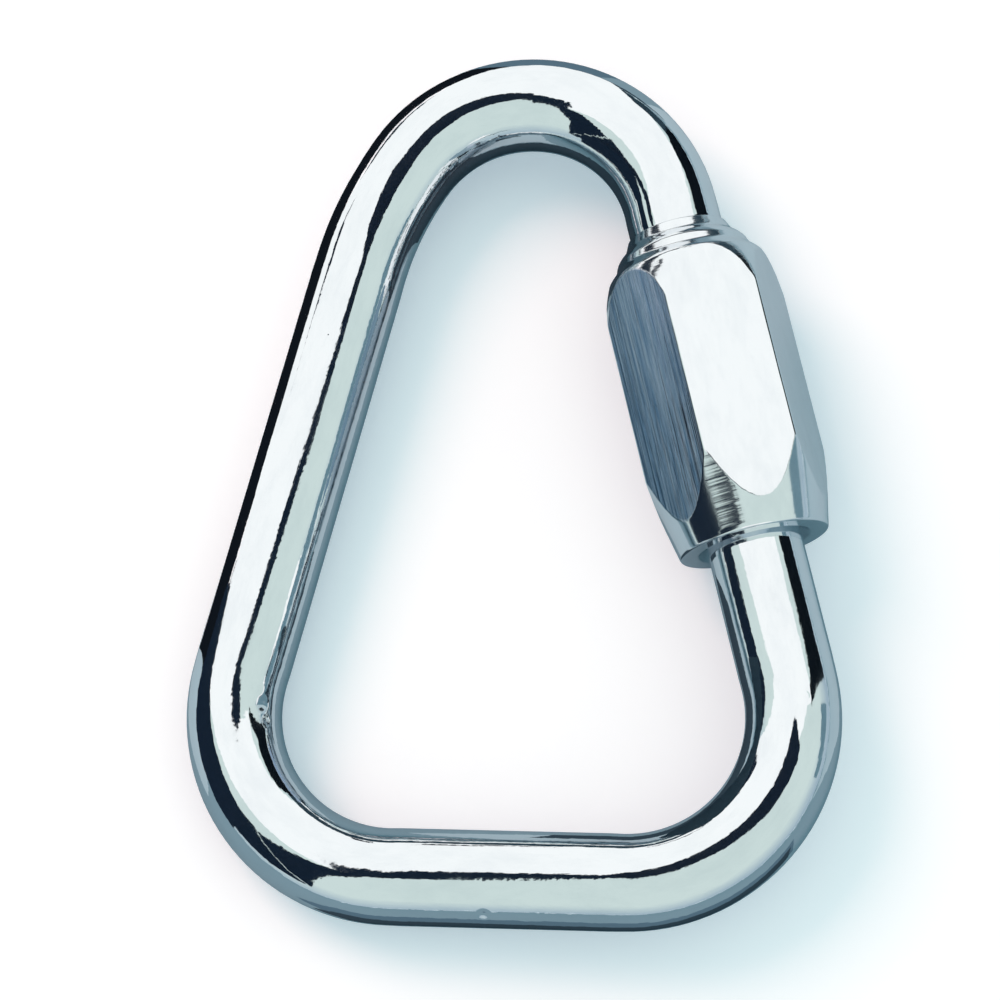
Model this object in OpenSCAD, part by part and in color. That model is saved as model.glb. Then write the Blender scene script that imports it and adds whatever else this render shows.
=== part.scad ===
// Delta quick link: one bent steel rod closed by a hexagonal sleeve nut.
// The link lies flat in the XY plane, crown towards +Y, gate leg on the +X side, origin in the middle.

/* [Link rod] */
// Diameter of the round rod
rod_d = 10; // [8:0.5:12]
// Clear width of the eye between the two base corners
inside_w = 48; // [44:1:64]
// Clear height of the eye from the base bar to the crown
inside_h = 74; // [70:1:96]
// Inside bend radius of the two base corners
corner_r = 12; // [9:0.5:15]
// Inside bend radius of the crown
crown_r = 10.5; // [9:0.5:13]
// Turn of the crown bend from its top to the looser shoulder on the back leg, in degrees
crown_turn = 57; // [48:1:64]
// Inside bend radius of the shoulder between the crown and the back leg
shoulder_r = 33; // [24:1:42]
// Radial draw of the rod where it is bent
bend_draw = 0.02; // [0.01:0.01:0.05]

/* [Threaded ends] */
// Depth of the thread's mean surface below the plain rod
thread_depth = 0.5; // [0.3:0.05:0.7]
// Length of the bevel on each rod end
tip_bevel = 0.8; // [0.4:0.1:1.2]
// Reach of the upper rod end into the closed nut
upper_grip = 4; // [3:0.25:6]
// Clear gap between the two rod ends
gate_gap = 11; // [9:0.5:12]

/* [Sleeve nut] */
// Overall length of the nut
nut_l = 35; // [31:0.5:39]
// Distance from the crown bend to the nose of the closed nut
nut_inset = 3.1; // [2:0.1:5]
// Wall from the plain bore to the middle of a flat
nut_wall = 3.4; // [2.6:0.1:4.4]
// Turn of the nut's flats about the gate leg, in degrees
nut_turn = 12; // [0:1:59]
// Width of the flat rim round the bore at the nose
nose_rim = 0.5; // [0.3:0.1:1.2]
// Radius of the turned nose in section
nose_r = 16.5; // [14:0.5:24]
// Depth of the plain mouth ahead of the thread at the nose
mouth_l = 0.5; // [0.3:0.1:1]
// Wall round the plain bore at the tapered end
taper_wall = 2.8; // [2.2:0.1:3.2]
// Half angle of the tapered end, in degrees
taper_angle = 12; // [8:1:20]
// Bevel of the bore at the tapered end
end_bevel = 0.9; // [0.5:0.1:1.2]

/* [Fits] */
// Radial clearance between the nut and the rod
run_clear = 0.1; // [0.05:0.01:0.2]
// Gap left at the closed stop and at the open stop
stop_gap = 0.1; // [0.05:0.05:0.3]
// Length of plain rod hidden inside the tapered end of the closed nut
skirt_cover = 1.2; // [0.4:0.1:2]

/* [Hidden] */
$fn = 96;

rod_r = rod_d / 2;

// centreline of the rod: bend radii and bend centres
corner_cr = corner_r + rod_r;
crown_cr = crown_r + rod_r;
shoulder_cr = shoulder_r + rod_r;
base_y = -inside_h / 2 - rod_r;
corner_c = [inside_w / 2 - corner_r, base_y + corner_cr];
crown_c = [0, inside_h / 2 - crown_r];
shoulder_at = 90 + crown_turn;
shoulder_c = crown_c + (crown_cr - shoulder_cr) * ray(shoulder_at);

// the gate leg is the outer tangent of the right corner and the crown
// the back leg is the outer tangent of the left corner and the shoulder
gate_at = tangent_normal(corner_c, corner_cr, crown_c, crown_cr);
back_at = 180 - tangent_normal(corner_c, corner_cr, [-shoulder_c.x, shoulder_c.y], shoulder_cr);
gate_top = crown_c + crown_cr * ray(gate_at);
gate_l = norm(gate_top - corner_c - corner_cr * ray(gate_at));
back_low = [-corner_c.x, corner_c.y] + corner_cr * ray(back_at);
back_l = norm(shoulder_c + shoulder_cr * ray(back_at) - back_low);

// places along the gate leg, measured down from the end of the crown bend
nut_travel = upper_grip + gate_gap;
upper_neck = nut_inset + mouth_l - stop_gap;
upper_tip = nut_inset + upper_grip;
lower_tip = upper_tip + gate_gap;
lower_neck = nut_inset + nut_l - skirt_cover;

// the nut, measured from its nose
thread_r = rod_r - thread_depth;
plain_bore_r = rod_r + run_clear;
thread_bore_r = thread_r + run_clear;
thread_end = lower_neck - stop_gap - nut_inset - nut_travel;
hex_sides = 6;
hex_r = (plain_bore_r + nut_wall) / cos(180 / hex_sides);
nose_over = 0.05;
nose_full_r = hex_r + nose_over;
nose_z = sqrt(pow(nose_r, 2) - pow(plain_bore_r + nose_rim - nose_full_r + nose_r, 2));
taper_end_r = plain_bore_r + taper_wall;

// each straight length laps over the drawn ends of the bends beside it
bend_lap = 0.2;

plating = "#c9d2d8";
cut_over = 1;

// unit vector at an angle in the XY plane
function ray(a) = [cos(a), sin(a)];

// angle of the outward normal of the line that touches circle c0, r0 and circle c1, r1 on their +X side
function tangent_normal(c0, r0, c1, r1) =
    let (d = c1 - c0)
    atan2(d.y, d.x) - acos((r0 - r1) / norm(d));

// a bend of the rod about centre c on centreline radius r, turning from angle a0 to angle a1
module bend(c, r, a0, a1) {
    translate([c.x, c.y, 0])
        rotate([0, 0, a0])
            rotate_extrude(angle = a1 - a0)
                translate([r, 0])
                    circle(r = rod_r - bend_draw);
}

// a straight length of rod from point p in the direction at angle a, lapping over a bend at both ends
module straight(p, a, l) {
    translate([p.x, p.y, 0])
        rotate([0, 0, a])
            rotate([0, 90, 0])
                translate([0, 0, -bend_lap])
                    cylinder(r = rod_r, h = l + 2 * bend_lap);
}

// moves its children to the end of the crown bend, their +Z down the gate leg and their +X away from the eye
module on_gate_leg() {
    translate([gate_top.x, gate_top.y, 0])
        rotate([0, 0, gate_at])
            rotate([90, 0, 0])
                children();
}

// upper end of the rod: plain length, threaded neck and bevelled tip
module upper_end() {
    translate([0, 0, -bend_lap])
        cylinder(r = rod_r, h = upper_neck + bend_lap);
    translate([0, 0, upper_neck])
        cylinder(r = thread_r, h = upper_tip - tip_bevel - upper_neck);
    translate([0, 0, upper_tip - tip_bevel])
        cylinder(r1 = thread_r, r2 = thread_r - tip_bevel, h = tip_bevel);
}

// lower end of the rod, standing up from the right corner: bevelled tip, threaded neck and plain length
module lower_end() {
    translate([0, 0, lower_tip])
        cylinder(r1 = thread_r - tip_bevel, r2 = thread_r, h = tip_bevel);
    translate([0, 0, lower_tip + tip_bevel])
        cylinder(r = thread_r, h = lower_neck - lower_tip - tip_bevel);
    translate([0, 0, lower_neck])
        cylinder(r = rod_r, h = gate_l - lower_neck + bend_lap);
}

// the bent rod: base bar, two corners, back leg, shoulder, crown and the two threaded ends
module link_body() {
    color(plating) {
        straight([-corner_c.x, base_y], 0, 2 * corner_c.x);
        bend(corner_c, corner_cr, -90, gate_at);
        bend([-corner_c.x, corner_c.y], corner_cr, back_at, 270);
        straight(back_low, back_at - 90, back_l);
        bend(shoulder_c, shoulder_cr, shoulder_at, back_at);
        straight(crown_c + crown_cr * ray(shoulder_at), shoulder_at - 90, 0);
        bend(crown_c, crown_cr, gate_at, shoulder_at);
        on_gate_leg() {
            upper_end();
            lower_end();
        }
    }
}

// half section of the turned blank: a rounded nose, then full width
module nose_section() {
    intersection() {
        translate([nose_full_r - nose_r, nose_z])
            circle(r = nose_r);
        square([nose_full_r + cut_over, nose_z]);
    }
    translate([0, nose_z])
        square([nose_full_r, nut_l]);
}

// hexagonal bar with a rounded nose and a conical tapered end
module nut_blank() {
    intersection() {
        rotate([0, 0, -nut_turn])
            cylinder(r = hex_r, h = nut_l, $fn = hex_sides);
        rotate_extrude()
            nose_section();
        cylinder(r1 = taper_end_r + nut_l * tan(taper_angle), r2 = taper_end_r, h = nut_l);
    }
}

// stepped bore: plain mouth, threaded length, plain skirt and bevelled end
module nut_bore() {
    translate([0, 0, -cut_over])
        cylinder(r = plain_bore_r, h = mouth_l + cut_over);
    translate([0, 0, -cut_over])
        cylinder(r = thread_bore_r, h = nut_l + 2 * cut_over);
    translate([0, 0, thread_end])
        cylinder(r = plain_bore_r, h = nut_l - thread_end + cut_over);
    translate([0, 0, nut_l - end_bevel])
        cylinder(r1 = plain_bore_r, r2 = plain_bore_r + end_bevel + cut_over, h = end_bevel + cut_over);
}

module sleeve_nut() {
    color(plating)
        on_gate_leg()
            translate([0, 0, nut_inset])
                difference() {
                    nut_blank();
                    nut_bore();
                }
}

link_body();
sleeve_nut();
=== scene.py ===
# %% [markdown]
# A delta quick link is one bright zinc-plated steel rod, bent to a rounded triangle, and one long
# hexagonal sleeve nut that screws along the right leg to close the gap. The CAD model already has the
# exact sizes and the sliding joint, so this lesson loads it as a fixed frame and dresses its two pieces.

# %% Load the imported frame
import math

import bpy
import numpy as np
from mathutils import Matrix, Vector


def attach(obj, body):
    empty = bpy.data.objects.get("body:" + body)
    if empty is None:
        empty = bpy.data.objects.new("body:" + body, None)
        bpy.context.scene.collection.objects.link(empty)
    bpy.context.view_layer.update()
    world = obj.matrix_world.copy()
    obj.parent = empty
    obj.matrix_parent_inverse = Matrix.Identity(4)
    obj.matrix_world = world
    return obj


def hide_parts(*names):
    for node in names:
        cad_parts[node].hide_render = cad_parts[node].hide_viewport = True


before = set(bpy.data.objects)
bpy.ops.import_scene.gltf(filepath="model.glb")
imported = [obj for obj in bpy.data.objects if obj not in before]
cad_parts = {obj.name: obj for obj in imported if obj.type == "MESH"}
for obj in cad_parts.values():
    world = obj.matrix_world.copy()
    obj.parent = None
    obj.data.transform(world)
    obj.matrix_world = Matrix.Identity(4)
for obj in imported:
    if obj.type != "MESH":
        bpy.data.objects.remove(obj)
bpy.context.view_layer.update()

# %% [markdown]
# Everything on this link follows from a few sizes. They repeat the CAD model's values, in millimetres,
# and the scene is in metres. The gate leg is the straight right side that carries the nut, and places
# on it are measured down from the end of the crown bend.

# %% Sizes of the rod, the thread and the nut
MM = 0.001
ROD_R, BEND_R = 4.995, 4.965
BASE_Y = -42.0
CORNER_C, CORNER_R = np.array([12.0, -25.0]), 17.0
LEFT_C = CORNER_C * [-1, 1]
CROWN_C, CROWN_R = np.array([0.0, 26.5]), 15.5
SHOULDER_R, SHOULDER_AT = 38.0, 147.0
UPPER_NECK, UPPER_TIP, LOWER_TIP, LOWER_NECK = 3.5, 7.1, 18.1, 36.9
TIP_BEVEL = 0.8
PITCH, ROD_THREAD_DEPTH, NUT_THREAD_DEPTH = 1.5, 0.9, 0.78
NUT_TOP, NUT_L = 3.1, 35.0


def ray(angle):
    """Unit vector in the link's plane at an angle in degrees."""
    return np.array([math.cos(math.radians(angle)), math.sin(math.radians(angle))])


def tangent_normal(c0, r0, c1, r1):
    """Angle of the outward normal of the line that touches two bends on their +X side."""
    d = c1 - c0
    return math.degrees(math.atan2(d[1], d[0]) - math.acos((r0 - r1) / np.hypot(*d)))


SHOULDER_C = CROWN_C + (CROWN_R - SHOULDER_R) * ray(SHOULDER_AT)
GATE_AT = tangent_normal(CORNER_C, CORNER_R, CROWN_C, CROWN_R)
BACK_AT = 180 - tangent_normal(CORNER_C, CORNER_R, SHOULDER_C * [-1, 1], SHOULDER_R)
GATE_TOP = CROWN_C + CROWN_R * ray(GATE_AT)
LEG_OUT = np.array([*ray(GATE_AT), 0.0])
LEG_DOWN = np.array([LEG_OUT[1], -LEG_OUT[0], 0.0])
GATE_L = float(np.linalg.norm(GATE_TOP - CORNER_C - CORNER_R * ray(GATE_AT)))
print(f"gate leg: {GATE_L:.2f} mm long, leaning {GATE_AT:.2f} degrees; back leg at {BACK_AT:.2f}")

# %% [markdown]
# Node trees are long to write by hand, so small helpers add a node with its settings and wire its
# inputs in one line. The same helpers serve the materials and the Geometry Nodes trees below.

# %% Helpers that build node trees
def put(tree, kind, inputs=None, **settings):
    """Adds a node. Each input is a plain value or the output socket of another node."""
    made = tree.nodes.new(kind)
    for name, value in settings.items():
        setattr(made, name, value)
    for key, value in (inputs or {}).items():
        if isinstance(value, bpy.types.NodeSocket):
            tree.links.new(value, made.inputs[key])
        else:
            made.inputs[key].default_value = value
    return made


def math_of(tree, operation, *values):
    """The output of a Math node."""
    return put(tree, "ShaderNodeMath", dict(enumerate(values)), operation=operation).outputs[0]


def vector_of(tree, operation, *values):
    """The vector output of a Vector Math node."""
    return put(tree, "ShaderNodeVectorMath", dict(enumerate(values)), operation=operation).outputs[0]


def number_of(tree, operation, a, b):
    """The number output of a Vector Math node, such as a dot product or a distance."""
    return put(tree, "ShaderNodeVectorMath", {0: a, 1: b}, operation=operation).outputs["Value"]


# %% [markdown]
# Bright zinc is a cool, slightly blue mirror, and it is thin, so it keeps the marks of the metal below.
# Each mark is a Noise texture, stretched along the metal or across it. A pattern can only follow a bent
# rod if it knows where each point was before the bend, so both pieces carry an attribute, straight,
# with that place in metres, and the textures read it.

# %% Helpers for the finishes
def painted(tree, name, output="Fac"):
    """An attribute of the mesh, read by a material."""
    return put(tree, "ShaderNodeAttribute", attribute_name=name).outputs[output]


def noise_of(tree, vector, scale, detail, rough):
    """A Noise texture's value at a vector stretched by scale."""
    placed = put(tree, "ShaderNodeMapping", {"Vector": vector, "Scale": scale}).outputs[0]
    return put(tree, "ShaderNodeTexNoise",
               {"Vector": placed, "Scale": 1.0, "Detail": detail, "Roughness": rough}).outputs[0]


def span_of(tree, value, low, high, to_low, to_high):
    """A value mapped from one range to another and held inside it."""
    return put(tree, "ShaderNodeMapRange", {0: value, 1: low, 2: high, 3: to_low, 4: to_high}).outputs[0]


def blend_of(tree, share, first, second):
    """A colour mixed from a first colour or socket towards a second colour."""
    mix = put(tree, "ShaderNodeMix", data_type="RGBA")
    a, b = (next(s for s in mix.inputs if s.name == name and s.type == "RGBA") for name in "AB")
    tree.links.new(share, mix.inputs["Factor"])
    b.default_value = second
    if isinstance(first, tuple):
        a.default_value = first
    else:
        tree.links.new(first, a)
    return next(s for s in mix.outputs if s.type == "RGBA")


# %% [markdown]
# The rod was pulled through a die, which leaves faint streaks along it, and bending and plating leave a
# soft waviness, tiny pits and, from use, a few small dents. All of these are heights for one Bump node:
# a mirror shows the smallest slope, so real geometry isn't needed. Each texture is named with its stretch,
# its detail and its roughness, and each dent is a smooth bowl round a place, by its distance.

# %% Relief of the plated surface
STREAKS, RIPPLE = ((2600, 2600, 45), 3.0, 0.6), ((260, 260, 120), 1.0, 0.5)
PITS, RINGS = ((1000, 1000, 600), 2.0, 0.55), ((0, 0, 1300), 2.0, 0.6)
RING_HEIGHT = 0.02
ROD_DENTS = (((-1.9, -46.0, 3.0), 0.9, 0.16), ((-25.5, -24.9, 3.6), 1.1, 0.07),
             ((-25.1, -26.6, 3.2), 0.9, 0.06), ((-26.0, -23.4, 4.0), 0.8, 0.05),
             ((-20.3, 14.2, 5.0), 0.5, 0.05), ((30.0, -23.4, 4.9), 0.9, 0.04))


def relief(tree, place, mask, heights, dents):
    """Height of the surface in mm: streaks, or rings where the mask says turned, waves, pits and dents."""
    streak_height, ripple_height, pit_height = heights
    height = math_of(tree, "MULTIPLY", noise_of(tree, place, *STREAKS), streak_height)
    if mask is not None:
        rings = math_of(tree, "MULTIPLY", noise_of(tree, place, *RINGS), RING_HEIGHT)
        drawn = math_of(tree, "MULTIPLY", height, math_of(tree, "SUBTRACT", 1.0, mask))
        height = math_of(tree, "ADD", drawn, math_of(tree, "MULTIPLY", rings, mask))
    for wave, tall in ((noise_of(tree, place, *RIPPLE), ripple_height),
                       (noise_of(tree, place, *PITS), pit_height)):
        height = math_of(tree, "ADD", height, math_of(tree, "MULTIPLY", wave, tall))
    here = put(tree, "ShaderNodeTexCoord").outputs["Object"]
    for spot, reach, depth in dents:
        away = number_of(tree, "DISTANCE", here, tuple(MM * x for x in spot))
        bowl = put(tree, "ShaderNodeMapRange", {0: away, 1: 0.0, 2: reach * MM, 3: -depth, 4: 0.0},
                   interpolation_type="SMOOTHSTEP").outputs[0]
        height = math_of(tree, "ADD", height, bowl)
    return height


print("dents on the rod:", len(ROD_DENTS))

# %% [markdown]
# One function makes both finishes. Dull patches vary the colour and the roughness a little, and thread
# grooves are duller still. The nut is a little rougher than the rod and has more to show: fine rings
# where its two ends were turned, and painted shade on single flats, a dark slate-blue tint in lengthwise
# streaks that stands in for the dark surroundings those flats mirror. The mesh marks it with an attribute.

# %% The two plated finishes
# The third colour is painted shade: the dark slate blue that single flats of the nut are tinted with, for the
# dark surroundings they mirror, streaked lengthwise by the flat lines.
ZINC_LIGHT, ZINC_DULL, PAINTED_SHADE_SLATE = (0.86, 0.885, 0.91, 1), (0.76, 0.795, 0.83, 1), (0.14, 0.235, 0.36, 1)
PATCHES, PAINTED_SHADE_LINES = ((420, 420, 160), 4.0, 0.65), ((1500, 1500, 70), 4.0, 0.65)
DULL_SPAN, ROUGH_SPAN, LINE_SPAN, LINE_FAINT = (0.42, 0.68), (0.3, 0.75), (0.35, 0.65), 0.75
PATCH_DULL, CUT_DULL, CUT_ROUGH = 0.55, 0.4, 0.10
SMOOTHEST, ROUGHEST, FLAT_ROUGH, TURNED_ROUGH = 0.02, 0.08, 0.05, 0.06


def plated(name, heights, turned, dents=()):
    """Zinc plate with streaks, waves and pits of these heights in mm and, on the nut, turned ends and painted
    shade on single flats.
    """
    material = bpy.data.materials.new(name)
    material.use_nodes = True
    tree = material.node_tree
    shader = tree.nodes["Principled BSDF"].inputs
    shader["Metallic"].default_value = 1.0
    place, cut = painted(tree, "straight", "Vector"), painted(tree, "cut")
    mask = painted(tree, "turned") if turned else None
    height = relief(tree, place, mask, heights, dents)
    bump = put(tree, "ShaderNodeBump", {"Height": height, "Strength": 1.0, "Distance": MM}).outputs[0]
    patch = noise_of(tree, place, *PATCHES)
    dull = math_of(tree, "MULTIPLY", span_of(tree, patch, *DULL_SPAN, 0.0, 1.0), PATCH_DULL)
    share = math_of(tree, "ADD", dull, math_of(tree, "MULTIPLY", cut, CUT_DULL))
    colour = blend_of(tree, share, ZINC_LIGHT, ZINC_DULL)
    rough = math_of(tree, "ADD", span_of(tree, patch, *ROUGH_SPAN, SMOOTHEST, ROUGHEST),
                    math_of(tree, "MULTIPLY", cut, CUT_ROUGH))
    if turned:
        rough = math_of(tree, "ADD", rough, span_of(tree, mask, 0.0, 1.0, FLAT_ROUGH, TURNED_ROUGH))
        # Painted shade: single flats of the nut are tinted dark slate blue in lengthwise streaks, for the
        # dark surroundings they mirror.
        lines = span_of(tree, noise_of(tree, place, *PAINTED_SHADE_LINES), *LINE_SPAN, LINE_FAINT, 1.0)
        colour = blend_of(tree, math_of(tree, "MULTIPLY", painted(tree, "grey"), lines), colour, PAINTED_SHADE_SLATE)
    for source, socket in ((colour, "Base Color"), (rough, "Roughness"), (bump, "Normal")):
        tree.links.new(source, shader[socket])
    return material


rod_plating = plated("zinc_on_drawn_rod", (0.004, 0.020, 0.014), turned=False, dents=ROD_DENTS)
nut_plating = plated("zinc_on_hexagon_bar", (0.035, 0.010, 0.004), turned=True)
print("finishes:", rod_plating.name, nut_plating.name)

# %% [markdown]
# A screw thread is one groove that winds round the rod, so its depth depends only on how far along the
# leg a point lies and how far round it is: one whole turn moves the groove along by one pitch. This node
# group works that out and pushes the surface in. The rod and the nut share it, so their threads mesh,
# and the nut's travel of ten pitches makes them mesh again when the link is open.

# %% The shared thread group
CREST_SHARE, NUT_CREST_SHARE, ROOT_SHARE = 0.125, 0.2, 0.25


def socket_in(tree, name, kind, value=None):
    """Adds a named input to a tree and gives its identifier."""
    made = tree.interface.new_socket(name, in_out="INPUT", socket_type=kind)
    if value is not None:
        made.default_value = value
    return made.identifier


def attribute(tree, name, kind="FLOAT"):
    """An attribute of the mesh, read by a Geometry Nodes tree."""
    return put(tree, "GeometryNodeInputNamedAttribute", {"Name": name}, data_type=kind).outputs["Attribute"]


def groove_of(tree, given, side, up):
    """Depth of the thread at a point, from its place along the leg and its turn round it."""
    turn = math_of(tree, "DIVIDE", math_of(tree, "ARCTAN2", up, side), 2 * math.pi)
    phase = math_of(tree, "SUBTRACT", math_of(tree, "DIVIDE", attribute(tree, "leg"), given["Pitch"]), turn)
    saw = math_of(tree, "SUBTRACT", math_of(tree, "MULTIPLY", math_of(tree, "FRACT", phase), 2.0), 1.0)
    root = math_of(tree, "SUBTRACT", 1.0, given["Root Share"])
    share = span_of(tree, math_of(tree, "ABSOLUTE", saw), given["Crest Share"], root, 0.0, 1.0)
    return math_of(tree, "MULTIPLY", math_of(tree, "MULTIPLY", share, attribute(tree, "cut")), given["Depth"])


def thread_group():
    """Sets every point's radius, with the thread cut in, and stores where it lies on the straight metal."""
    tree = bpy.data.node_groups.new("cut_thread", "GeometryNodeTree")
    socket_in(tree, "Geometry", "NodeSocketGeometry")
    for name, value in (("Pitch", PITCH * MM), ("Depth", ROD_THREAD_DEPTH * MM),
                        ("Crest Share", CREST_SHARE), ("Root Share", ROOT_SHARE)):
        socket_in(tree, name, "NodeSocketFloat", value)
    tree.interface.new_socket("Geometry", in_out="OUTPUT", socket_type="NodeSocketGeometry")
    given = put(tree, "NodeGroupInput").outputs
    centre, out = attribute(tree, "centre", "FLOAT_VECTOR"), attribute(tree, "outward", "FLOAT_VECTOR")
    here = put(tree, "GeometryNodeInputPosition").outputs[0]
    spoke = vector_of(tree, "NORMALIZE", vector_of(tree, "SUBTRACT", here, centre))
    side, up = number_of(tree, "DOT_PRODUCT", spoke, out), number_of(tree, "DOT_PRODUCT", spoke, (0, 0, 1))
    cut_to = math_of(tree, "SUBTRACT", attribute(tree, "core"), groove_of(tree, given, side, up))
    radius = math_of(tree, "MINIMUM", cut_to, attribute(tree, "limit"))
    reach = put(tree, "ShaderNodeVectorMath", {0: spoke, "Scale": radius}, operation="SCALE").outputs[0]
    placed = put(tree, "GeometryNodeSetPosition",
                 {"Geometry": given["Geometry"], "Position": vector_of(tree, "ADD", centre, reach)})
    unbent = put(tree, "ShaderNodeCombineXYZ", {0: math_of(tree, "MULTIPLY", side, radius),
                                                1: math_of(tree, "MULTIPLY", up, radius),
                                                2: attribute(tree, "along")}).outputs[0]
    stored = put(tree, "GeometryNodeStoreNamedAttribute",
                 {"Geometry": placed.outputs[0], "Name": "straight", "Value": unbent},
                 data_type="FLOAT_VECTOR", domain="POINT")
    put(tree, "NodeGroupOutput", {0: stored.outputs[0]})
    return tree


cut_thread = thread_group()
print("thread group:", len(cut_thread.nodes), "nodes")

# %% [markdown]
# Each finished tree ends the same way: edges sharper than a set angle are kept crisp, everything else is
# smooth, instances are made real and the plating is set. The evaluated result is then turned into a
# plain mesh, because the export keeps meshes and not live modifiers.

# %% Finishing a tree and baking its mesh
CRISP_ANGLE = math.radians(38)


def end_tree(tree, geometry, plating):
    """Ends a tree: crisp and smooth edges, real instances and the plating."""
    angle = put(tree, "GeometryNodeInputMeshEdgeAngle").outputs["Unsigned Angle"]
    smooth = put(tree, "FunctionNodeCompare", {0: angle, 1: CRISP_ANGLE}, data_type="FLOAT",
                 operation="LESS_THAN").outputs[0]
    faces = put(tree, "GeometryNodeSetShadeSmooth", {0: geometry, "Shade Smooth": True}, domain="FACE")
    edges = put(tree, "GeometryNodeSetShadeSmooth", {0: faces.outputs[0], "Shade Smooth": smooth},
                domain="EDGE")
    real = put(tree, "GeometryNodeRealizeInstances", {0: edges.outputs[0]})
    dressed = put(tree, "GeometryNodeSetMaterial", {0: real.outputs[0], "Material": plating})
    put(tree, "NodeGroupOutput", {0: dressed.outputs[0]})


def mesh_object(name, mesh):
    """An object of the scene that shows a mesh."""
    made = bpy.data.objects.new(name, mesh)
    bpy.context.scene.collection.objects.link(made)
    return made


def bake(base, tree, values, name):
    """Runs a tree on a base mesh with its inputs set and keeps the result as a plain mesh object."""
    modifier = base.modifiers.new(tree.name, "NODES")
    modifier.node_group = tree
    for identifier, value in values.items():
        modifier[identifier] = value
    weighted = base.modifiers.new("even_normals", "WEIGHTED_NORMAL")
    weighted.keep_sharp = True
    bpy.context.view_layer.update()
    mesh = bpy.data.meshes.new_from_object(base.evaluated_get(bpy.context.evaluated_depsgraph_get()))
    mesh.name = name
    bpy.data.objects.remove(base)
    made = mesh_object(name, mesh)
    triangles = sum(len(p.vertices) - 2 for p in mesh.polygons)
    print(f"{name}: {len(mesh.vertices)} points, {triangles} triangles")
    return made


def point_values(mesh, **columns):
    """Stores one number or one vector for each point of a mesh."""
    for name, values in columns.items():
        values = np.asarray(values, np.float32)
        vector = values.ndim == 2
        layer = mesh.attributes.new(name, "FLOAT_VECTOR" if vector else "FLOAT", "POINT")
        layer.data.foreach_set("vector" if vector else "value", values.ravel())


# %% [markdown]
# The rod could be a bevelled Bezier curve, but its bends are true arcs, and the thread needs many close
# rings while a straight needs few. So the centreline is a chain of points set out one by one, from the upper
# tip round the crown, down the back leg, along the base and up to the lower tip, and each point carries
# what the tree needs there: the radius, the thread's share and the direction away from the eye.

# %% The rod's centreline
THREAD_STEP, BEND_STEP, PLAIN_STEP = 0.1, 0.9, 1.6
THREAD_MAJOR, RUN_OUT, NECK_BLEND = 4.95, 1.0, 0.3
WIDE = 1000.0
stations = []


def station(point, out, core=ROD_R, cut=0.0, leg=0.0, limit=WIDE):
    """Adds one ring: its centre, its direction outwards, its radius and what the thread needs."""
    stations.append((point[0], point[1], out[0], out[1], core, cut, leg, limit))


def steps(start, stop, step):
    """Even places from start to stop, about a step apart."""
    return np.linspace(start, stop, max(2, int(round(abs(stop - start) / step)) + 1))


def bend(centre, radius, start, stop):
    """Rings round one bend, between two angles."""
    for angle in steps(start, stop, math.degrees(BEND_STEP / radius)):
        station(centre + radius * ray(angle), ray(angle), BEND_R)


def plain(start, stop, out):
    """Rings along a straight, between its ends."""
    count = int(np.linalg.norm(stop - start) / PLAIN_STEP) + 1
    for share in np.linspace(0, 1, count + 2)[1:-1]:
        station(start + (stop - start) * share, out)


def on_leg(leg):
    """The point of the gate leg's axis at a distance down from the crown bend."""
    return GATE_TOP + LEG_DOWN[:2] * leg


def threaded(places, tip, neck):
    """Rings of one threaded end, with a bevel at its tip and a run-out at its neck."""
    for leg in places:
        from_tip, to_neck = abs(leg - tip), abs(neck - leg)
        limit = THREAD_MAJOR - (TIP_BEVEL - from_tip) if from_tip < TIP_BEVEL else WIDE
        core = THREAD_MAJOR + (ROD_R - THREAD_MAJOR) * max(0, 1 - to_neck / NECK_BLEND)
        station(on_leg(leg), LEG_OUT, core, min(1.0, to_neck / RUN_OUT), leg, limit)


threaded(steps(UPPER_TIP, UPPER_NECK, THREAD_STEP), UPPER_TIP, UPPER_NECK)
plain(on_leg(UPPER_NECK), GATE_TOP, LEG_OUT)
bend(CROWN_C, CROWN_R, GATE_AT, SHOULDER_AT)
stations.pop()
bend(SHOULDER_C, SHOULDER_R, SHOULDER_AT, BACK_AT)
plain(SHOULDER_C + SHOULDER_R * ray(BACK_AT), LEFT_C + CORNER_R * ray(BACK_AT), ray(BACK_AT))
bend(LEFT_C, CORNER_R, BACK_AT, 270)
plain(np.array([LEFT_C[0], BASE_Y]), np.array([CORNER_C[0], BASE_Y]), (0, -1))
bend(CORNER_C, CORNER_R, -90, GATE_AT)
plain(on_leg(GATE_L), on_leg(LOWER_NECK), LEG_OUT)
threaded(steps(LOWER_TIP, LOWER_NECK, THREAD_STEP)[::-1], LOWER_TIP, LOWER_NECK)
path = np.array(stations)
along = np.concatenate([[0], np.cumsum(np.linalg.norm(np.diff(path[:, :2], axis=0), axis=1))])
print(f"centreline: {len(path)} rings over {along[-1]:.1f} mm")

# %% [markdown]
# Geometry Nodes sweep a circle along that chain with Mesh to Curve and Curve to Mesh, close both tips,
# and let the thread group set the final radius at every point.

# %% Sweep the rod
ROD_SIDES = 72


def cut_by(tree, geometry, given, crest=CREST_SHARE):
    """Runs the thread group on a geometry with the tree's own pitch and depth."""
    thread = put(tree, "GeometryNodeGroup", node_tree=cut_thread)
    thread.inputs["Crest Share"].default_value = crest
    for socket, source in (("Geometry", geometry), ("Pitch", given["Thread Pitch"]),
                           ("Depth", given["Thread Depth"])):
        tree.links.new(source, thread.inputs[socket])
    return thread.outputs[0]


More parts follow.
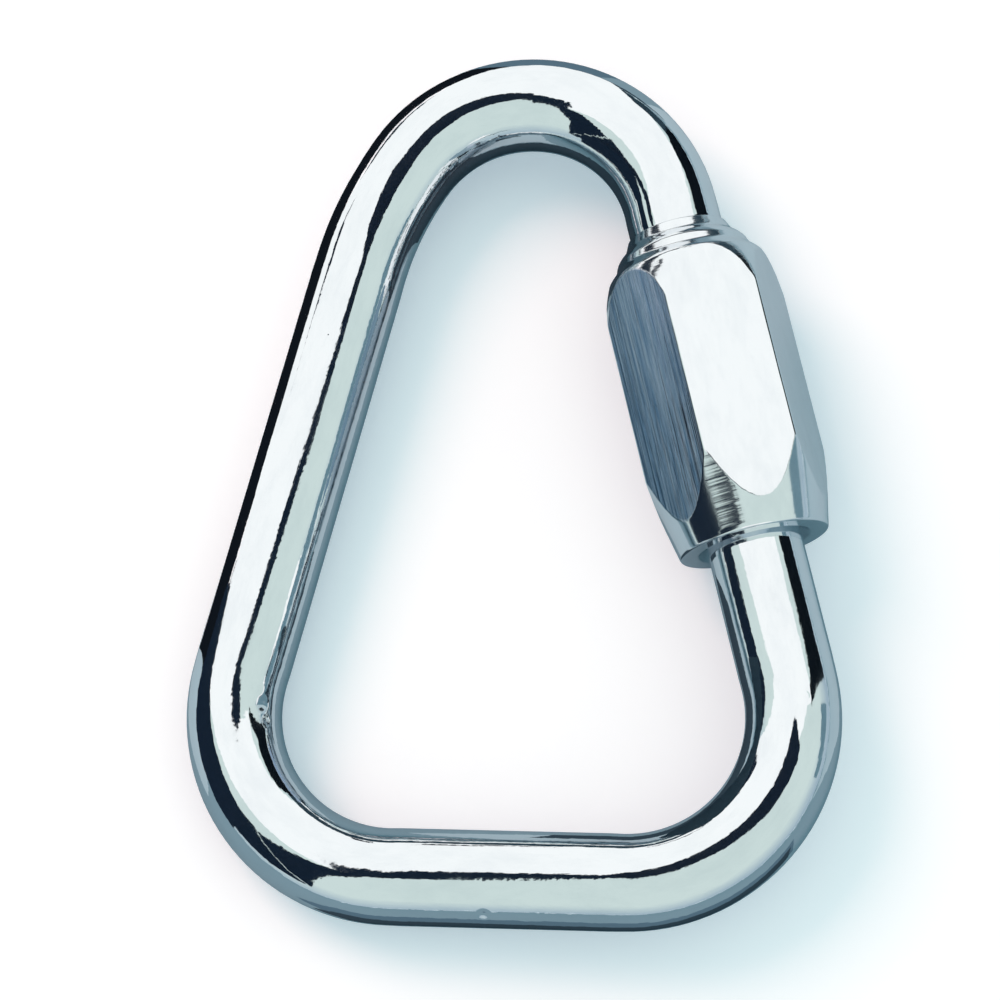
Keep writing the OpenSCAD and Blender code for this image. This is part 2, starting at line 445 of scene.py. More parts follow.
def rod_tree():
    """The tree that sweeps and threads the rod, with the identifiers of its inputs."""
    tree = bpy.data.node_groups.new("bent_threaded_rod", "GeometryNodeTree")
    socket_in(tree, "Geometry", "NodeSocketGeometry")
    ids = {name: socket_in(tree, name, kind, value) for name, kind, value in (
        ("Sides", "NodeSocketInt", ROD_SIDES), ("Rod Radius", "NodeSocketFloat", ROD_R * MM),
        ("Thread Pitch", "NodeSocketFloat", PITCH * MM),
        ("Thread Depth", "NodeSocketFloat", ROD_THREAD_DEPTH * MM), ("Plating", "NodeSocketMaterial", None))}
    tree.interface.new_socket("Geometry", in_out="OUTPUT", socket_type="NodeSocketGeometry")
    given = put(tree, "NodeGroupInput").outputs
    curve = put(tree, "GeometryNodeMeshToCurve", {0: given["Geometry"]}).outputs[0]
    ring = put(tree, "GeometryNodeCurvePrimitiveCircle",
               {"Resolution": given["Sides"], "Radius": given["Rod Radius"]}).outputs[0]
    swept = put(tree, "GeometryNodeCurveToMesh", {"Curve": curve, "Profile Curve": ring, "Fill Caps": True})
    end_tree(tree, cut_by(tree, swept.outputs[0], given), given["Plating"])
    return tree, ids


def chain_mesh():
    """The centreline as a chain of edges, with each ring's values on its point."""
    mesh = bpy.data.meshes.new("rod_centreline")
    points = np.column_stack([path[:, :2], np.zeros(len(path))]) * MM
    mesh.from_pydata(points.tolist(), [(i, i + 1) for i in range(len(path) - 1)], [])
    outward = np.column_stack([path[:, 2:4], np.zeros(len(path))])
    point_values(mesh, centre=points, outward=outward, core=path[:, 4] * MM, cut=path[:, 5],
                 leg=path[:, 6] * MM, limit=path[:, 7] * MM, along=along * MM)
    return mesh


tree, ids = rod_tree()
rod = bake(mesh_object("rod_centreline", chain_mesh()), tree,
           {ids["Sides"]: ROD_SIDES, ids["Rod Radius"]: ROD_R * MM, ids["Thread Pitch"]: PITCH * MM,
            ids["Thread Depth"]: ROD_THREAD_DEPTH * MM, ids["Plating"]: rod_plating}, "bent_rod")

# %% [markdown]
# The nut starts as hexagon bar, whose six edges are slightly rounded by rolling. A cylinder with six
# sides would have razor edges that catch no light, so the bar's radius is worked out at angles round the
# axis, with a small arc on every edge. Each angle also knows how much painted shade its flat gets.

# %% The hexagon bar's radius at every angle
APOTHEM, HEX_EDGE_R, NUT_TURN = 8.5, 0.45, 12.0
FLAT_COLUMNS, EDGE_COLUMNS = 13, 6
# How much painted shade each flat gets, a dark tint for the dark surroundings it mirrors.
PAINTED_FLAT_SHADE = (0.10, 0.0, 1.0, 0.3, 0.1, 0.45)


def hex_columns():
    """Angles round the nut, closer together on its rounded edges, with the bar's radius and painted shade at
    each.
    """
    half_flat = (APOTHEM - HEX_EDGE_R) * math.tan(math.radians(30))
    edge_from = math.degrees(math.atan(half_flat / APOTHEM))
    edge_c = (APOTHEM - HEX_EDGE_R) / math.cos(math.radians(30))
    columns = []
    for facet, grey in enumerate(PAINTED_FLAT_SHADE):
        start = 60 * facet + 30 - NUT_TURN
        for a in np.linspace(-edge_from, edge_from, FLAT_COLUMNS):
            columns.append((start + a, APOTHEM / math.cos(math.radians(a)), grey))
        for a in np.linspace(edge_from, 60 - edge_from, EDGE_COLUMNS)[1:-1]:
            b = math.radians(a - 30)
            r = edge_c * math.cos(b) + math.sqrt(HEX_EDGE_R**2 - (edge_c * math.sin(b)) ** 2)
            columns.append((start + a, r, 0.0))
    angles, radii, greys = np.array(columns).T
    return np.radians(angles), radii, greys


angles, bars, greys = hex_columns()
print(f"hexagon bar: {len(angles)} columns, radius {bars.min():.2f} to {bars.max():.2f} mm")

# %% [markdown]
# One end of the bar is turned to a long rounded nose with two small steps at its rim, which cuts a
# scallop into every flat, and the other end is turned to a slight taper. A boolean would give the same
# forms, but with razor edges again. Here the profile runs down the nose, the flat and the taper at every
# angle, and a short curve softens both meeting lines, as the plated edges are on the real nut.

# %% The nut's profile at every angle
PLAIN_BORE, RIM_R, TAPER_END, TAPER_ANGLE, END_BEVEL = 5.1, 5.6, 7.9, 12.0, 0.9
NOSE_R, NOSE_OVER = 16.5, 0.05
NOSE_FULL = APOTHEM / math.cos(math.radians(30)) + NOSE_OVER
NOSE_Z = math.sqrt(NOSE_R**2 - (RIM_R - NOSE_FULL + NOSE_R) ** 2)
NOSE_STEPS = np.array([(0.0, 5.35), (1.25, 5.93), (1.85, 6.65), (2.35, 7.05), (3.3, 7.42), (4.05, 8.2),
                       (4.3, 8.41)])
STEPS_END = NOSE_STEPS[-1, 0]
STEP_SOFT, STEP_SAMPLES = 0.3, 13
EDGE_SOFT, RIM_SOFT, RIM_LIP, END_SOFT, END_LIP = 0.22, 0.12, 0.2, 0.25, 0.3
RIM_ROWS, STEP_ROWS, NOSE_ROWS, EDGE_ROWS, FLAT_ROWS, TAPER_ROWS, END_ROWS = 4, 44, 16, 7, 9, 14, 5


def soft_corner(before, corner, after, count):
    """Points of a short curve that rounds a corner, from the point before it to the point after it."""
    t = np.linspace(0, 1, count)[:, None]
    return (1 - t) ** 2 * np.array(before) + 2 * t * (1 - t) * np.array(corner) + t**2 * np.array(after)


def nose(z):
    """Radius of the turned nose at a height: two small softened steps, then a long curve."""
    curve = NOSE_FULL - NOSE_R + math.sqrt(NOSE_R**2 - (z - NOSE_Z) ** 2)
    near = np.clip(z + STEP_SOFT * np.linspace(-0.5, 0.5, STEP_SAMPLES), 0, STEPS_END)
    stepped = float(np.interp(near, *NOSE_STEPS.T).mean())
    return curve if z > STEPS_END else min(curve, stepped)


def taper(z):
    """Radius of the tapered end at a height."""
    return TAPER_END + (NUT_L - z) * math.tan(math.radians(TAPER_ANGLE))


def outer_profile(bar):
    """(radius, height, turned) down the outside of the nut at an angle where the bar has this radius."""
    z_nose = NOSE_Z - math.sqrt(NOSE_R**2 - (bar - NOSE_FULL + NOSE_R) ** 2)
    z_taper = NUT_L - (bar - TAPER_END) / math.tan(math.radians(TAPER_ANGLE))
    nose_to, flat_from = z_nose - EDGE_SOFT, z_nose + EDGE_SOFT
    flat_to, taper_from, taper_to = z_taper - EDGE_SOFT, z_taper + EDGE_SOFT, NUT_L - END_SOFT
    steps_to = STEPS_END - EDGE_SOFT
    rim = soft_corner((PLAIN_BORE + RIM_LIP, 0), (nose(0), 0), (nose(RIM_SOFT), RIM_SOFT), RIM_ROWS)
    upper = soft_corner((nose(nose_to), nose_to), (bar, z_nose), (bar, flat_from), EDGE_ROWS)
    lower = soft_corner((bar, flat_to), (bar, z_taper), (taper(taper_from), taper_from), EDGE_ROWS)
    lip = (TAPER_END - END_LIP, NUT_L)
    end = soft_corner((taper(taper_to), taper_to), (TAPER_END, NUT_L), lip, END_ROWS)
    rows = [(r, z, 1) for r, z in rim]
    rows += [(nose(z), z, 1) for z in np.linspace(RIM_SOFT, steps_to, STEP_ROWS)[1:]]
    rows += [(nose(z), z, 1) for z in np.linspace(steps_to, nose_to, NOSE_ROWS)[1:-1]]
    rows += [(r, z, 1 - i / (EDGE_ROWS - 1)) for i, (r, z) in enumerate(upper)]
    rows += [(bar, z, 0) for z in np.linspace(flat_from, flat_to, FLAT_ROWS)[1:-1]]
    rows += [(r, z, i / (EDGE_ROWS - 1)) for i, (r, z) in enumerate(lower)]
    rows += [(taper(z), z, 1) for z in np.linspace(taper_from, taper_to, TAPER_ROWS)[1:-1]]
    return rows + [(r, z, 1) for r, z in end]


outer = np.array([outer_profile(bar) for bar in bars])
print(f"outside of the nut: {outer.shape[1]} rows")

# %% [markdown]
# The bore has a plain mouth at the nose, a thread in its upper part, a plain skirt and a bevelled end.
# The thread's rows are as close as the rod's, and its depth fades in and out at both ends.

# %% The nut's bore
MOUTH_L, MOUTH_BEVEL, THREAD_END = 0.5, 0.15, 18.7
NUT_MAJOR, NUT_RUN_OUT = 5.05, 0.8
BORE_LIP, BEVEL_SOFT, BEVEL_ROWS, SKIRT_ROWS = 0.1, 0.07, 4, 9


def bore_profile():
    """(radius, height, thread share) up the bore, from the tapered end to the mouth."""
    bevel = PLAIN_BORE + END_BEVEL
    inner = (bevel - BEVEL_SOFT, NUT_L - BEVEL_SOFT)
    edge = soft_corner((bevel + BORE_LIP, NUT_L), (bevel, NUT_L), inner, BEVEL_ROWS)
    rows = [(r, z, 0) for r, z in edge]
    rows += [(PLAIN_BORE, z, 0) for z in np.linspace(NUT_L - END_BEVEL, THREAD_END + BORE_LIP, SKIRT_ROWS)]
    for z in steps(THREAD_END, MOUTH_L, THREAD_STEP):
        share = min(1.0, (z - MOUTH_L) / NUT_RUN_OUT, (THREAD_END - z) / NUT_RUN_OUT)
        rows.append((NUT_MAJOR, z, max(0.0, share)))
    mouth = [(PLAIN_BORE, MOUTH_L - BORE_LIP, 0), (PLAIN_BORE, MOUTH_BEVEL, 0), (PLAIN_BORE + BORE_LIP, 0, 0)]
    return rows + mouth


bore = np.array(bore_profile())
print(f"bore of the nut: {len(bore)} rows")

# %% [markdown]
# The rows and columns become one closed grid that turns in on itself, so the nut has no seam. The thread
# group then cuts its inner thread, and a Weighted Normal modifier keeps the flats flat beside their soft
# edges.

# %% Build the nut and cut its thread
def nut_mesh():
    """The nut as a closed grid of quads, with each point's values."""
    columns = len(angles)
    radius = np.concatenate([outer[:, :, 0], np.tile(bore[:, 0], (columns, 1))], axis=1)
    height = np.concatenate([outer[:, :, 1], np.tile(bore[:, 1], (columns, 1))], axis=1)
    turned = np.concatenate([outer[:, :, 2], np.ones((columns, len(bore)))], axis=1)
    cut = np.concatenate([np.zeros(outer.shape[:2]), np.tile(bore[:, 2], (columns, 1))], axis=1)
    # Painted shade on the flats only, none on the turned ends and in the bore.
    grey = (1 - turned) * greys[:, None]
    rows = radius.shape[1]
    spoke = np.cos(angles)[:, None] * LEG_OUT + np.sin(angles)[:, None] * np.array([0, 0, 1.0])
    axis_top = np.array([*GATE_TOP, 0]) + LEG_DOWN * NUT_TOP
    centre = axis_top + height[..., None] * LEG_DOWN
    points = centre + radius[..., None] * spoke[:, None, :]
    index = np.arange(columns * rows).reshape(columns, rows)
    right, below = np.roll(index, -1, 0), np.roll(index, -1, 1)
    corner = np.roll(right, -1, 1)
    quads = np.stack([index, below, corner, right], -1).reshape(-1, 4)
    mesh = bpy.data.meshes.new("nut_blank")
    mesh.from_pydata((points.reshape(-1, 3) * MM).tolist(), [], quads.tolist())
    point_values(mesh, centre=centre.reshape(-1, 3) * MM, outward=np.tile(LEG_OUT, (columns * rows, 1)),
                 core=radius.ravel() * MM, cut=cut.ravel(), limit=np.full(columns * rows, WIDE * MM),
                 leg=(NUT_TOP + height.ravel()) * MM, along=height.ravel() * MM, turned=turned.ravel(),
                 grey=grey.ravel())
    return mesh


def nut_tree():
    """The tree that threads the nut, with the identifiers of its inputs."""
    tree = bpy.data.node_groups.new("sleeve_nut_thread", "GeometryNodeTree")
    socket_in(tree, "Geometry", "NodeSocketGeometry")
    ids = {name: socket_in(tree, name, kind, value) for name, kind, value in (
        ("Thread Pitch", "NodeSocketFloat", PITCH * MM),
        ("Thread Depth", "NodeSocketFloat", NUT_THREAD_DEPTH * MM), ("Plating", "NodeSocketMaterial", None))}
    tree.interface.new_socket("Geometry", in_out="OUTPUT", socket_type="NodeSocketGeometry")
    given = put(tree, "NodeGroupInput").outputs
    end_tree(tree, cut_by(tree, given["Geometry"], given, NUT_CREST_SHARE), given["Plating"])
    return tree, ids


tree, ids = nut_tree()
nut = bake(mesh_object("nut_blank", nut_mesh()), tree,
           {ids["Thread Pitch"]: PITCH * MM, ids["Thread Depth"]: NUT_THREAD_DEPTH * MM,
            ids["Plating"]: nut_plating}, "hexagon_sleeve")

# %% [markdown]
# Each piece rides on the CAD body it belongs to and stands for that body's plain solid, so the nut slides
# down the leg when the joint moves.

# %% Tie the pieces to the frame
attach(rod, "link_body")
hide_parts("link_body")
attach(nut, "sleeve_nut")
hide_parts("sleeve_nut")
print("tied:", rod.name, "and", nut.name)

# %% [markdown]
# The nut is fatter than the rod, so a real link lies a few degrees tilted, on one edge of the nut and on
# the far side of the rod. The link keeps its own frame here, so the floor is tilted instead. Halving a
# range of angles again and again finds the one at which both pieces touch the floor.

# %% How the link rests
STEEPEST, HALVINGS = math.radians(12), 30


def lowest(piece, up):
    """Distance of a piece's lowest point from the origin, along a direction upwards."""
    points = np.empty(len(piece.data.vertices) * 3, np.float32)
    piece.data.vertices.foreach_get("co", points)
    return float((points.reshape(-1, 3) @ up).min())


def floor_up(tilt):
    """The floor's normal when it is tilted about the gate leg."""
    return LEG_OUT * math.sin(tilt) + np.array([0, 0, math.cos(tilt)])


low, high = 0.0, STEEPEST
for _ in range(HALVINGS):
    tilt = (low + high) / 2
    nut_is_lower = lowest(nut, floor_up(tilt)) < lowest(rod, floor_up(tilt))
    low, high = (tilt, high) if nut_is_lower else (low, tilt)
floor_normal = floor_up(tilt)
floor_drop = min(lowest(nut, floor_normal), lowest(rod, floor_normal))
print(f"the link rests tilted by {math.degrees(tilt):.2f} degrees")

# %% [markdown]
# The floor is plain white paper. The lamp and the room alone leave it a little grey, so it also glows
# faintly. A Light Path node lets only the camera and mirrors see that glow, so it lights nothing else.

# %% The white paper
FLOOR_HALF, PAPER_WHITE, PAPER_GLOW = 3.0, 0.94, (0.16, 0.205, 0.255, 1)


def matt(name, colour):
    """A plain matt material for the stage."""
    made = bpy.data.materials.new(name)
    made.use_nodes = True
    shader = made.node_tree.nodes["Principled BSDF"].inputs
    shader["Base Color"].default_value = (*colour, 1)
    shader["Roughness"].default_value, shader["Specular IOR Level"].default_value = 1.0, 0.0
    return made


across = np.cross(floor_normal, [0, 1, 0])
across /= np.linalg.norm(across)
ahead = np.cross(floor_normal, across)
corners = [floor_normal * floor_drop + FLOOR_HALF * (x * across + y * ahead)
           for x, y in ((-1, -1), (1, -1), (1, 1), (-1, 1))]
floor_mesh = bpy.data.meshes.new("floor")
floor_mesh.from_pydata([c.tolist() for c in corners], [], [(0, 1, 2, 3)])
floor = mesh_object("floor", floor_mesh)
if floor_mesh.polygons[0].normal.z < 0:
    floor_mesh.flip_normals()
paper = matt("white_paper", (PAPER_WHITE,) * 3)
sheen = paper.node_tree.nodes["Principled BSDF"].inputs
sheen["Emission Color"].default_value = PAPER_GLOW
seen = put(paper.node_tree, "ShaderNodeLightPath").outputs
looked_at = math_of(paper.node_tree, "MAXIMUM", seen["Is Camera Ray"], seen["Is Glossy Ray"])
paper.node_tree.links.new(looked_at, sheen["Emission Strength"])
floor_mesh.materials.append(paper)
print(f"paper: {2 * FLOOR_HALF:.0f} m square")

# %% [markdown]
# A mirror shows only what stands round it, so the light is half of this picture. It starts with a pale
# room that fills in softly from everywhere. A colour ramp over the height of each direction makes it a
# little darker near the floor than overhead.

# %% The room
ROOM_LOW, ROOM_HIGH, ROOM_FULL = (0.38, 0.50, 0.58, 1), (0.67, 0.79, 0.76, 1), 0.40
scene = bpy.context.scene
scene.view_settings.view_transform = "Standard"
world = bpy.data.worlds.new("pale_room")
scene.world = world
world.use_nodes = True
sky = world.node_tree
gaze = put(sky, "ShaderNodeTexCoord").outputs["Generated"]
rise = put(sky, "ShaderNodeSeparateXYZ", {0: gaze}).outputs[2]
shades = put(sky, "ShaderNodeValToRGB", {0: rise})
first, last = shades.color_ramp.elements
first.position, first.color = 0.0, ROOM_LOW
last.position, last.color = ROOM_FULL, ROOM_HIGH
sky.links.new(shades.outputs[0], sky.nodes["Background"].inputs["Color"])
print("room:", world.name)

# %% [markdown]
# One square softbox, up and to the left, gives the soft shadows on the paper. Its power follows from its
# distance and from the share of the paper's white that it should give. It is hidden from the mirror,
# because what the metal shows of a softbox is set apart from the shadows, in the next steps.

# %% The lamp
LAMP_FROM, LAMP_FAR, LAMP_SIDE, LAMP_SHARE = (140, 50), 0.9, 0.42, 0.34
LAMP_TINT = (1.0, 0.52, 0.44)


def toward(azimuth, elevation):
    """Unit vector towards an azimuth, counted from +X to +Y, and an elevation, in degrees."""
    a, e = math.radians(azimuth), math.radians(elevation)
    return Vector((math.cos(a) * math.cos(e), math.sin(a) * math.cos(e), math.sin(e)))


lamp = bpy.data.lights.new("softbox", "AREA")
lamp.shape, lamp.size, lamp.color = "SQUARE", LAMP_SIDE, LAMP_TINT
slant = math.sin(math.radians(LAMP_FROM[1]))
lamp.energy = LAMP_SHARE * (math.pi * LAMP_FAR) ** 2 / (PAPER_WHITE * slant)
softbox = bpy.data.objects.new("softbox", lamp)
scene.collection.objects.link(softbox)
softbox.location = toward(*LAMP_FROM) * LAMP_FAR
softbox.rotation_euler = toward(*LAMP_FROM).to_track_quat("Z", "Y").to_euler()
softbox.visible_camera = softbox.visible_glossy = False
print(f"softbox: {lamp.size:.2f} m square, {lamp.energy:.1f} W")

# %% [markdown]
# A product photographer draws the dark lines on polished metal with flags: cards and cloths held where
# the metal mirrors them. Here each one is a simple mesh that reflections see and nothing else does, so it
# throws no shadow and stays out of the picture. A few cloths in different depths of blue-grey are enough.

# %% Cards that only reflections see
FLAG_FAR, FLAG_GRID = 1.8, 9
CLOTHS = {"navy_cloth": (0.012, 0.022, 0.042), "black_cloth": (0.006, 0.009, 0.014),
          "haze_cloth": (0.105, 0.185, 0.255), "slate_card": (0.22, 0.34, 0.42),
          "dusk_card": (0.04, 0.067, 0.093), "pale_card": (0.42, 0.56, 0.65)}
FACE_GLOW, FACE_TINT = 1.07, (0.98, 1.0, 0.99, 1)


def card(name, points, faces, material):
    """A card of the stage that only reflections see."""
    mesh = bpy.data.meshes.new(name)
    mesh.from_pydata([tuple(p) for p in points], [], faces)
    mesh.materials.append(material)
    made = mesh_object(name, mesh)
    made.visible_camera = made.visible_diffuse = made.visible_shadow = made.visible_transmission = False
    return made


def sheet(name, points, material):
    """A flat card with one outline."""
    return card(name, points, [tuple(range(len(points)))], material)


def ribbon(name, one_edge, other_edge, material):
    """A card between two edges with as many points each."""
    n = len(one_edge)
    quads = [(i, i + 1, n + i + 1, n + i) for i in range(n - 1)]
    return card(name, [*one_edge, *other_edge], quads, material)


def flag(name, corners, material):
    """A far card that fills the directions between four corners, each an azimuth and an elevation."""
    shares, count = np.linspace(0, 1, FLAG_GRID), FLAG_GRID
    a, b, c, d = (np.array(x, float) for x in corners)
    points = [toward(*((1 - v) * ((1 - u) * a + u * b) + v * ((1 - u) * d + u * c))) * FLAG_FAR
              for v in shares for u in shares]
    quads = [(r * count + k, r * count + k + 1, (r + 1) * count + k + 1, (r + 1) * count + k)
             for r in range(count - 1) for k in range(count - 1)]
    return card(name, points, quads, material)


def names_of(made):
    """The names of objects, for printing."""
    return [each.name for each in made]


navy, black, haze, slate, dusk, pale = (matt(name, colour) for name, colour in CLOTHS.items())
glow = matt("softbox_cloth", (0, 0, 0))
cloth = glow.node_tree.nodes["Principled BSDF"].inputs
cloth["Emission Color"].default_value, cloth["Emission Strength"].default_value = FACE_TINT, FACE_GLOW
print("cloths:", list(CLOTHS))

# %% [markdown]
# What the metal shows as white is the face of a wide softbox, which leans over the link from behind. Its
# near edge is an arch, with a dark strip along it, which the metal shows as a long dark line. The arch is
# given as the mirror sees it, in directions to the side and ahead of straight up, and the strip stops two
# points short of its right end.

# %% The softbox's face and the strip along its edge
BOX_SIDE, BOX_AHEAD, UP = toward(25, 0), toward(115, 0), Vector((0, 0, 1))
BOX_NEAR, BOX_FAR = (0.12, 1.0), (1.5, 0.12)
FACE_LEFT, FACE_RIGHT, FACE_SCALE = -1.4, 1.5, 2.2
ARCH = np.array([(-0.243, -0.113), (-0.176, -0.03), (-0.11, 0.04), (-0.03, 0.09), (0.05, 0.0975),
                 (0.12, 0.085), (0.20, 0.08), (0.30, 0.0625), (0.42, 0.025), (0.60, -0.02), (0.95, -0.14)])
ARCH_HALF = np.array([0.07, 0.07, 0.065, 0.06, 0.0575, 0.065, 0.065, 0.0625, 0.045, 0.03, 0.03])[:, None]
STRIP_TO = -2


def on_face(side, ahead):
    """The point of the softbox's plane in a direction side and ahead of straight up."""
    fall = (BOX_NEAR[1] - BOX_FAR[1]) / (BOX_FAR[0] - BOX_NEAR[0])
    up = (BOX_NEAR[1] + fall * BOX_NEAR[0]) / (1 + fall * ahead)
    return (BOX_SIDE * side * up + BOX_AHEAD * ahead * up + UP * up) * FACE_SCALE


def on_strip(side, ahead):
    """The point of the dark strip in a direction side and ahead of straight up."""
    return (BOX_SIDE * side + BOX_AHEAD * ahead + UP) * FLAG_FAR


run = np.gradient(ARCH, axis=0)
arch_out = np.column_stack([-run[:, 1], run[:, 0]]) / np.linalg.norm(run, axis=1)[:, None] * ARCH_HALF
far_edge = BOX_AHEAD * BOX_FAR[0] + UP * BOX_FAR[1]
far_corners = [(far_edge + BOX_SIDE * side) * FACE_SCALE for side in (FACE_RIGHT, FACE_LEFT)]
face = sheet("softbox_face", [on_face(*p) for p in ARCH + arch_out] + far_corners, glow)
strip = ribbon("flag_over", [on_strip(*p) for p in (ARCH - arch_out)[:STRIP_TO]],
               [on_strip(*p) for p in (ARCH + arch_out)[:STRIP_TO]], navy)
print("softbox face and strip:", names_of((face, strip)))

# %% [markdown]
# Far flags stand round the link and draw the dark lines on the sides of the rod. Each fills a patch of
# directions, given by four corners, so it can be placed from what one spot of the metal mirrors. One
# more stands near, on the left, where the left side of the link sees most of it.

# %% Flags round the link
NEAR_X = -80
NEAR_OUTLINE = ((9, -6), (9, 12), (0, 27), (-10, 38), (-20, 46), (-38, 58), (-64, 66), (-64, 4))
FAR_FLAGS = (
    ("flag_right", black, ((19, 30), (50, 26), (62, -4), (21, -1))),
    ("flag_far", dusk, ((55, -3), (55, 14), (122, 6), (122, -3))),
    ("flag_right_high", black, ((16, 45), (22, 45), (28, 29), (19, 29))),
    ("flag_left", navy, ((158, -2), (162, 10), (205, 48), (237, 13))),
    ("flag_left_high", navy, ((208, 46), (220, 78), (234, 80), (238, 13))),
    ("flag_left_low", navy, ((156, -4), (158, 8), (208, 11), (200, -4))),
    ("flag_back", navy, ((114, -2), (122, 10), (150, 20), (160, -2))),
    ("flag_low", slate, ((350, 5), (350, 14), (374, 22), (374, 5))))
flags = [flag(name, corners, material) for name, material, corners in FAR_FLAGS]
flags.append(sheet("flag_near", [(NEAR_X * MM, y * MM, z * MM) for y, z in NEAR_OUTLINE], navy))
print("flags:", names_of(flags))

# %% [markdown]
# Towards its edges the rod mirrors the table. On plain white paper those edges would be lost, so cards lie
# on the table round the link and inside its eye. The dark cards along the base's lower edge and under the
# crown are painted shade, for the floor in the link's own shade. Cards that cover each other lie a
# hundredth of a millimetre or more apart, so it is clear which one is on top.

# %% Cards on the table
def on_floor(x, y, lift):
    """The point of the floor, raised by lift, over or under a place of the link's plane, all in mm."""
    drop = (floor_drop + lift * MM - MM * (x * floor_normal[0] + y * floor_normal[1])) / floor_normal[2]
    return (x * MM, y * MM, drop)


TABLE_CARDS = (
    ("table_card", 0.02, slate, ((-900, -900), (900, -900), (900, 900), (40, 900), (-9, 52), (-36, -17),
                                 (-900, 218))),
    ("table_pale", 0.04, pale, ((44, -24), (300, -120), (300, 200), (70, 170), (17, 49))),
    ("table_flag", 0.05, black, ((-36, -17), (-24, 40), (-9, 52), (-20, 175), (-125, 90), (-150, 14))),
    ("table_left", 0.04, pale, ((-36, -17), (-150, 14), (-200, -60), (-45, -38))),
    ("table_eye", 0.04, pale, ((-12, -24), (14, -26), (8, 20), (-3, 25))),
    ("table_corner", 0.05, dusk, ((4, -27), (21, -26), (14, -9), (0, -14))),
    ("table_back", 0.05, haze, ((-9, 52), (10, 51), (30, 165), (-20, 175))),
    # Painted shade: these two cards grade darker towards the base's lower edge, for the floor in the link's
    # shade.
    ("painted_shade_base_far", 0.05, haze, ((-26, -50), (18, -50), (36, -42), (56, -52), (26, -63), (-24, -62))),
    ("painted_shade_base_near", 0.06, dusk, ((-22, -48), (16, -48), (34, -42), (44, -47), (22, -54.5), (-20, -54))),
    ("table_far", 0.06, dusk, ((-30, 120), (60, 110), (140, 420), (-60, 420))),
    # Painted shade: the floor under the inside of the crown, in the crown's shade.
    ("table_shade", 0.06, dusk, ((-8, 27), (3, 24), (11, 17), (13, 27), (7, 34), (0, 37), (-7, 35))))
table = [sheet(name, [on_floor(x, y, lift) for x, y in outline], material)
         for name, lift, material, outline in TABLE_CARDS]
print("table:", names_of(table))

# %% [markdown]
# The last cards are held close, because a close card is seen from one stretch of the rod alone. Two lie
# over the metal and thicken the dark line on the crown's left shoulder and on the right corner, and a
# white one keeps that line off the right leg. Two more stand upright beside the rod: a dark one inside
# the right corner, and a white one that cleans the outer edge of the crown and the back leg.

# %% Cards close to the metal
CORNER_CARD_R, CROWN_CARD_R, LEG_CARD_OUT = 6, 24, 8.5
CROWN_CARD_TOP, LEG_CARD_TOP = 6.2, 5.8
CORNER_CARD = ((-74, 1.4, 1.8), (-62, -1.5, 4), (-50, -2.5, 5.7), (-34, -2, 6.2), (-22, 0, 6),
               (-10, 1.5, 5.3), (5, 2, 5), (20, 2, 5.5), (32, 2.5, 7), (46, 3, 8.5), (62, 3.5, 9))
CROWN_CARD = ((56, 5.5), (66, 2.8), (78, 2.8), (90, 2.8), (104, 3.1), (116, 3.6), (128, 4.6), (140, 5),
              (152, 4.8), (162, 3.9))
LEG_CARD = ((50, 3.6), (36, 3.6), (22, 3.5), (12, 4.3), (7, 5.6))


def standing(name, spots, material):
    """An upright card over places of the link's plane, each with its lower and upper edge, all in mm."""
    low_edge, high_edge = ([(p[0] * MM, p[1] * MM, ends[k] * MM) for p, ends in spots] for k in (0, 1))
    return ribbon(name, high_edge, low_edge, material)


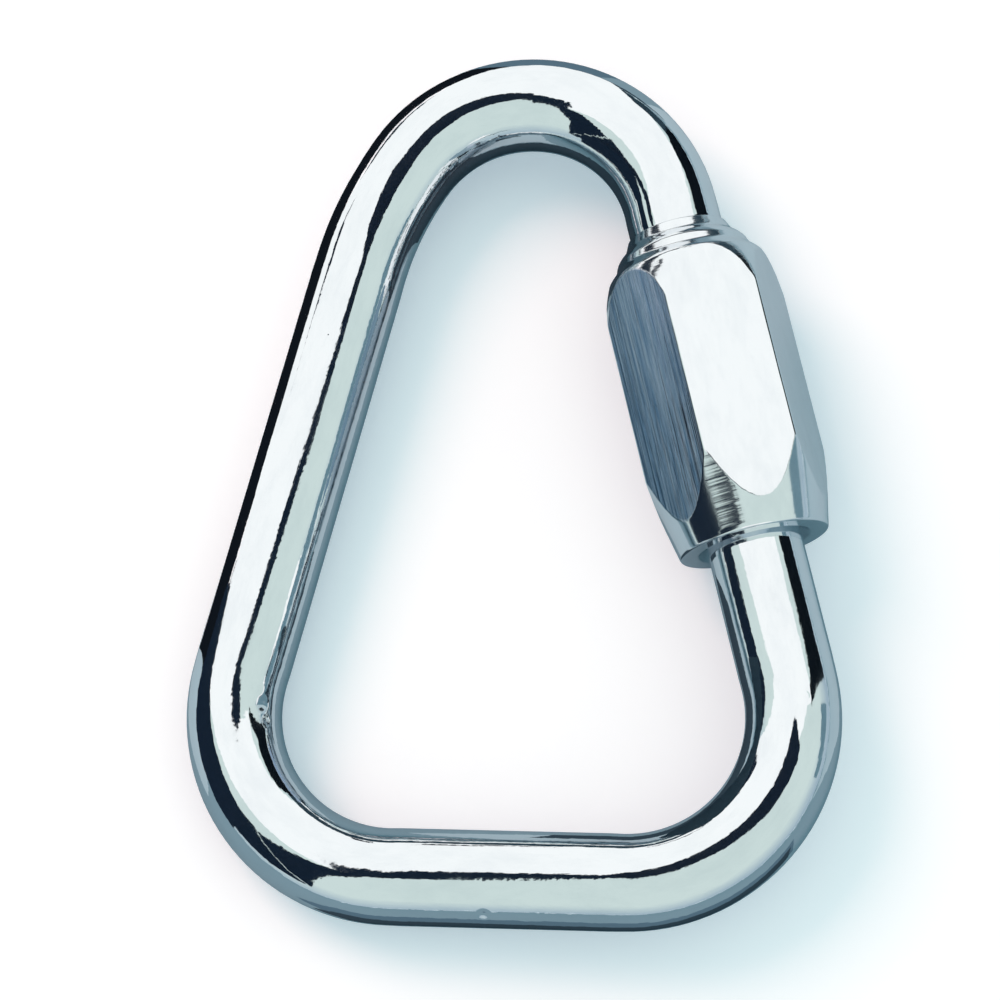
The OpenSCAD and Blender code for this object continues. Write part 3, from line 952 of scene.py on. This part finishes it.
LYING_CARDS = (
    ("close_crown", 20, navy, ((-17, 19), (-13, 19), (-11, 24.5), (-9, 30), (-7, 35), (-5.5, 39), (-1, 40),
                               (-1, 44.5), (-6, 46), (-11, 44.5), (-14.5, 40), (-17, 38.5), (-17, 31),
                               (-14.3, 27), (-15.5, 24))),
    ("close_corner", 20, navy, ((9, -40.5), (12, -37), (15, -35), (19, -33), (23, -31.5), (26, -29.5),
                                (28, -25), (29.5, -22.8), (31.5, -23), (34, -25.5), (36, -26.5), (37, -29),
                                (34, -32.5), (31, -36), (26, -37.5), (24, -38.5), (17, -39.7), (12, -41))),
    ("close_leg", 20.5, glow, ((22, -12), (33, -11.5), (37, -14.5), (40, -17), (40.5, -20), (38, -23),
                               (34.5, -26), (30, -26.5), (26, -25.5), (22, -23))))
close = [sheet(name, [(x * MM, y * MM, lift * MM) for x, y in outline], material)
         for name, lift, material, outline in LYING_CARDS]
leg_side = LEFT_C + (CORNER_R + LEG_CARD_OUT) * ray(BACK_AT)
in_corner = [(CORNER_C + CORNER_CARD_R * ray(a), (low, high)) for a, low, high in CORNER_CARD]
round_crown = [(CROWN_C + CROWN_CARD_R * ray(a), (low, CROWN_CARD_TOP)) for a, low in CROWN_CARD]
round_crown += [(leg_side + s * ray(BACK_AT - 90), (low, LEG_CARD_TOP)) for s, low in LEG_CARD]
close += [standing("curved_corner", in_corner, dusk), standing("curved_crown", round_crown, glow)]
print("close cards:", names_of(close))

# %% [markdown]
# The camera looks almost straight down from the lower right with a long lens, a little turned, as the
# photograph does. Its place was fitted to the outline of the link.

# %% Camera
CAM_AZIMUTH, CAM_ELEVATION, CAM_ROLL = 20.58, 75.05, -19.07
CAM_FAR, CAM_FOCUS, CAM_AIM = 0.356, 3.388, Vector((-0.00210, -0.00202, 0.0))
a, e, r = (math.radians(x) for x in (CAM_AZIMUTH, CAM_ELEVATION, CAM_ROLL))
back = Vector((math.sin(a) * math.cos(e), -math.cos(a) * math.cos(e), math.sin(e)))
level = Vector((math.cos(a), math.sin(a), 0))
upright = back.cross(level)
right = math.cos(r) * level + math.sin(r) * upright
top = math.cos(r) * upright - math.sin(r) * level
camera = bpy.data.objects.new("camera", bpy.data.cameras.new("camera"))
scene.collection.objects.link(camera)
camera.data.sensor_width = 36.0
camera.data.lens = CAM_FOCUS * camera.data.sensor_width
camera.data.clip_start, camera.data.clip_end = 0.01, 20.0
turned_to = Matrix((right, top, back)).transposed().to_4x4()
camera.matrix_world = Matrix.Translation(CAM_AIM + CAM_FAR * back) @ turned_to
scene.camera = camera
print(f"lens {camera.data.lens:.1f} mm at {1000 * CAM_FAR:.0f} mm")
